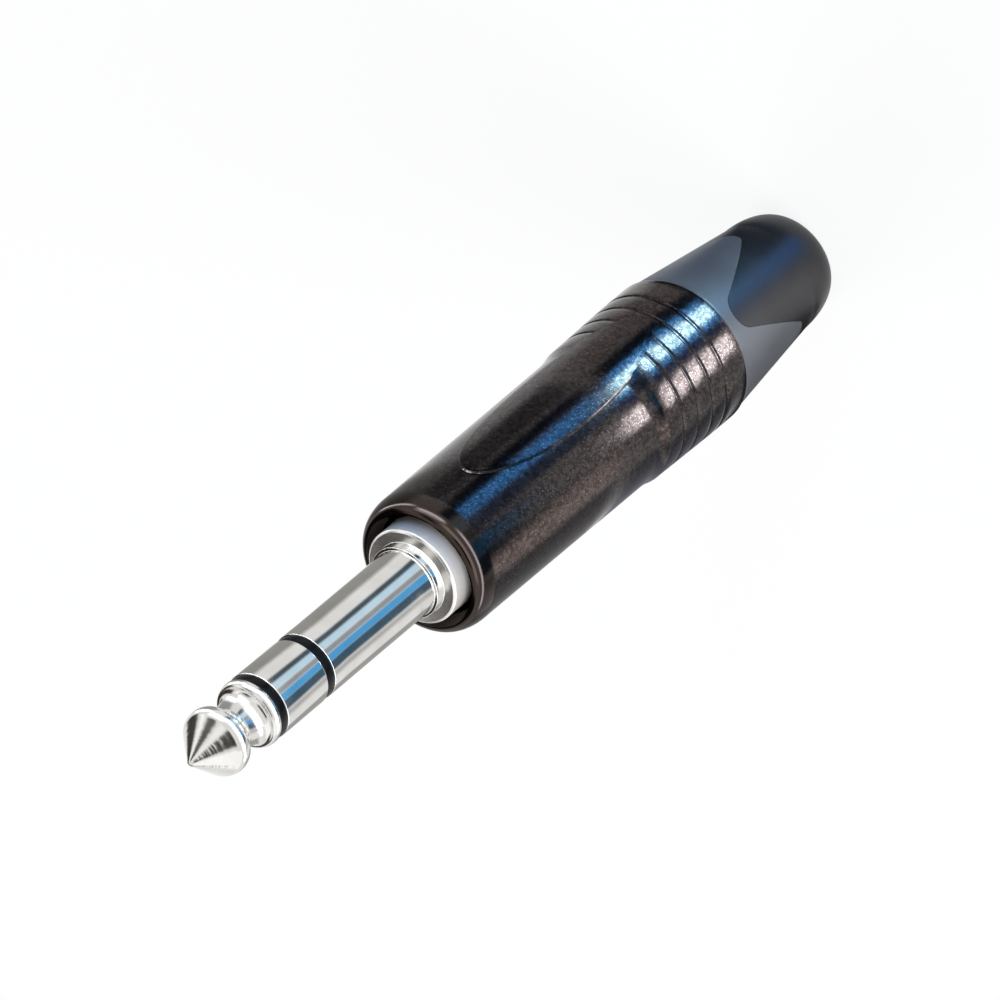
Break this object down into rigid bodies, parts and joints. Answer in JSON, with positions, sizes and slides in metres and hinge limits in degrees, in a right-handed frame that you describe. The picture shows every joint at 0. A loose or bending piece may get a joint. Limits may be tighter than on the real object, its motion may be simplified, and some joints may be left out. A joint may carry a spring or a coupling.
{
  "type": "stereo jack plug",
  "caption": "Quarter-inch three-pole cable jack plug with a nickel finger, a black metal shell and a screwed two-part boot over a cable chuck.",
  "frame": {"origin": "centre of the boot's end face, on the plug's axis", "axes": "+Z along the axis from the boot's end to the nose; the plaque on the shell faces -Y"},
  "size_m": [0.0144, 0.0144, 0.0886],
  "materials": {
    "nickel": "polished nickel plate",
    "black_band": "glossy black moulded insulator",
    "carrier_plastic": "black moulded plastic",
    "tinned_brass": "tinned sheet brass",
    "washer_board": "plain insulating board",
    "black_chrome": "black plated die-cast metal, lightly textured",
    "chuck_plastic": "natural white moulded plastic",
    "boot_grey": "satin grey moulded plastic",
    "boot_soft_black": "satin black soft moulding"
  },
  "bodies": {
    "boot": {"boot_core": "boot_grey", "boot_cover": "boot_soft_black"},
    "chuck": {"cable_chuck": "chuck_plastic"},
    "plug_body": {"tip_contact": "nickel", "tip_insulator": "black_band", "ring_contact": "nickel", "ring_insulator": "black_band", "sleeve_contact": "nickel", "terminal_carrier": "carrier_plastic", "sleeve_terminal": "tinned_brass", "ring_terminal": "tinned_brass", "terminal_washer": "washer_board", "tip_terminal": "tinned_brass", "shell": "black_chrome"}
  },
  "joints": [
    {"name": "boot_turn", "type": "hinge", "parent": "boot", "child": "chuck", "pos_m": [0, 0, 0], "axis": [0, 0, 1], "range_deg": [0, 1080]},
    {"name": "chuck_slide", "type": "slide", "parent": "chuck", "child": "plug_body", "axis": [0, 0, 1], "range_m": [0, 0.0045]}
  ],
  "couplings": [
    {"joint": "boot_turn", "follows": "chuck_slide", "rad_per_m": 4188.8}
  ]
}
